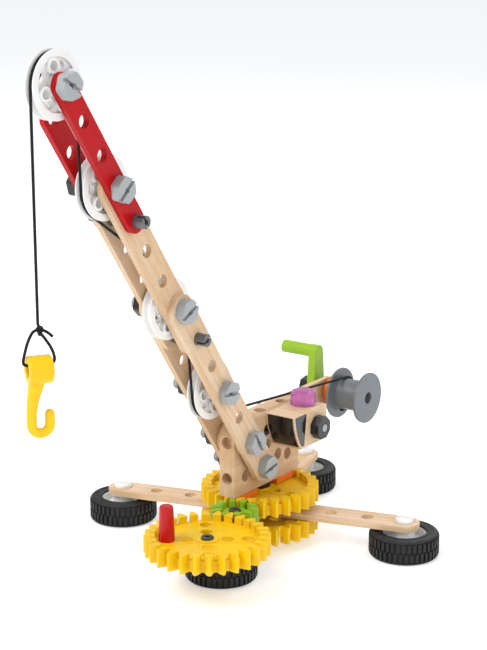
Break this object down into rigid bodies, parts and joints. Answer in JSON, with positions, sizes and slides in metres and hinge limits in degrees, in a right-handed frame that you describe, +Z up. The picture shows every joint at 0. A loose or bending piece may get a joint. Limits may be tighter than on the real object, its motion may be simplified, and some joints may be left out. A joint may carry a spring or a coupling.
{
  "type": "toy tower crane",
  "caption": "Toy tower crane of drilled wooden strips on a wheeled cross base, with a geared slewing boom, cab, winch and cord hoist.",
  "frame": {"origin": "on the floor, below the slew axis", "axes": "+X along the long outrigger, +Y along the cross outrigger away from the drive gear, +Z up"},
  "size_m": [0.2462, 0.3439, 0.3407],
  "materials": {
    "beech_wood": "sanded beech with fine grain",
    "red_wood": "red lacquered wood",
    "yellow_plastic": "satin moulded plastic",
    "green_plastic": "satin moulded plastic",
    "orange_plastic": "satin moulded plastic",
    "red_plastic": "satin moulded plastic",
    "white_plastic": "satin moulded plastic",
    "light_grey_plastic": "satin moulded plastic",
    "mid_grey_plastic": "satin moulded plastic",
    "dark_grey_plastic": "satin moulded plastic",
    "black_plastic": "satin moulded plastic",
    "pink_plastic": "clear tinted plastic",
    "tyre_rubber": "matte ribbed rubber",
    "black_cord": "braided cord"
  },
  "bodies": {
    "base": {"long_outrigger": "beech_wood", "cross_outrigger": "beech_wood", "wheel_bolts": "white_plastic", "wheel_nuts": "white_plastic", "wheel_spacers": "white_plastic", "slew_bolt": "light_grey_plastic", "slew_nut": "black_plastic", "axle_pins": "dark_grey_plastic"},
    "wheel_left": {"tyre_left": "tyre_rubber", "hub_left": "white_plastic"},
    "wheel_right": {"tyre_right": "tyre_rubber", "hub_right": "white_plastic"},
    "wheel_front": {"tyre_front": "tyre_rubber", "hub_front": "white_plastic"},
    "wheel_back": {"tyre_back": "tyre_rubber", "hub_back": "white_plastic"},
    "lower_ring": {"lower_gear": "yellow_plastic"},
    "pinion_wheel": {"pinion": "green_plastic"},
    "drive": {"drive_gear": "yellow_plastic", "drive_handle": "red_plastic"},
    "superstructure": {"upper_gear": "yellow_plastic", "coupling_plates": "orange_plastic", "tower_block": "beech_wood", "near_lower_strip": "beech_wood", "near_middle_strip": "beech_wood", "near_red_strip": "red_wood", "far_lower_strip": "beech_wood", "far_middle_strip": "beech_wood", "far_red_strip": "red_wood", "boom_bolts": "light_grey_plastic", "boom_nuts": "black_plastic", "strip_pins": "dark_grey_plastic", "block_spacers": "beech_wood", "pulley_spacers": "white_plastic", "cab_front": "beech_wood", "cab_body": "beech_wood", "cab_windows": "black_plastic", "cab_bolt": "light_grey_plastic", "cab_nut": "black_plastic", "lamp_cap": "pink_plastic", "winch_arm": "beech_wood", "arm_pin": "dark_grey_plastic", "cord_run": "black_cord", "cord_fall": "black_cord"},
    "pulley_top": {"pulley_1": "white_plastic"},
    "pulley_upper": {"pulley_2": "white_plastic"},
    "pulley_middle": {"pulley_3": "white_plastic"},
    "pulley_lower": {"pulley_4": "white_plastic"},
    "winch": {"spool": "mid_grey_plastic", "spool_washer": "orange_plastic", "crank": "green_plastic", "winch_axle": "dark_grey_plastic", "winch_nut": "black_plastic", "cord_windings": "black_cord"},
    "hoist": {"cord_loop": "black_cord", "hook": "yellow_plastic"}
  },
  "joints": [
    {"name": "wheel_left_spin", "type": "hinge", "parent": "base", "child": "wheel_left", "pos_m": [-0.1, 0, 0.01], "axis": [0, 0, 1], "continuous": true},
    {"name": "wheel_right_spin", "type": "hinge", "parent": "base", "child": "wheel_right", "pos_m": [0.1, 0, 0.01], "axis": [0, 0, 1], "continuous": true},
    {"name": "wheel_front_spin", "type": "hinge", "parent": "base", "child": "wheel_front", "pos_m": [0, -0.075, 0.01], "axis": [0, 0, 1], "continuous": true},
    {"name": "wheel_back_spin", "type": "hinge", "parent": "base", "child": "wheel_back", "pos_m": [0, 0.1, 0.01], "axis": [0, 0, 1], "continuous": true},
    {"name": "lower_gear_spin", "type": "hinge", "parent": "base", "child": "lower_ring", "pos_m": [0, 0, 0.012], "axis": [0, 0, 1], "continuous": true},
    {"name": "slew", "type": "hinge", "parent": "base", "child": "superstructure", "pos_m": [0, 0, 0.032], "axis": [0, 0, 1], "continuous": true},
    {"name": "pinion_spin", "type": "hinge", "parent": "base", "child": "pinion_wheel", "pos_m": [0, -0.05, 0.032], "axis": [0, 0, 1], "continuous": true},
    {"name": "drive_spin", "type": "hinge", "parent": "base", "child": "drive", "pos_m": [0, -0.1, 0.032], "axis": [0, 0, 1], "continuous": true},
    {"name": "winch_turn", "type": "hinge", "parent": "superstructure", "child": "winch", "pos_m": [0.03718, 0.09337, 0.0756], "axis": [-0.9613, 0.2756, 0], "range_deg": [0, 456]},
    {"name": "hook_lift", "type": "slide", "parent": "superstructure", "child": "hoist", "axis": [0, 0, 1], "range_m": [0, 0.0956], "deforming": ["cord_fall"]},
    {"name": "pulley_top_spin", "type": "hinge", "parent": "superstructure", "child": "pulley_top", "pos_m": [-0.05089, -0.19306, 0.32147], "axis": [-0.9613, 0.2756, 0], "range_deg": [0, 306.2]},
    {"name": "pulley_upper_spin", "type": "hinge", "parent": "superstructure", "child": "pulley_upper", "pos_m": [-0.04316, -0.15053, 0.26004], "axis": [-0.9613, 0.2756, 0], "range_deg": [-306.2, 0]},
    {"name": "pulley_middle_spin", "type": "hinge", "parent": "superstructure", "child": "pulley_middle", "pos_m": [-0.02735, -0.09539, 0.17812], "axis": [-0.9613, 0.2756, 0], "range_deg": [0, 306.2]},
    {"name": "pulley_lower_spin", "type": "hinge", "parent": "superstructure", "child": "pulley_lower", "pos_m": [-0.0155, -0.05404, 0.11669], "axis": [-0.9613, 0.2756, 0], "range_deg": [-306.2, 0]}
  ],
  "couplings": [
    {"joint": "pinion_spin", "follows": "slew", "ratio": -2.8},
    {"joint": "drive_spin", "follows": "slew", "ratio": 1},
    {"joint": "hook_lift", "follows": "winch_turn", "m_per_rad": 0.012},
    {"joint": "pulley_top_spin", "follows": "winch_turn", "ratio": 0.67039},
    {"joint": "pulley_upper_spin", "follows": "winch_turn", "ratio": -0.67039},
    {"joint": "pulley_middle_spin", "follows": "winch_turn", "ratio": 0.67039},
    {"joint": "pulley_lower_spin", "follows": "winch_turn", "ratio": -0.67039}
  ]
}
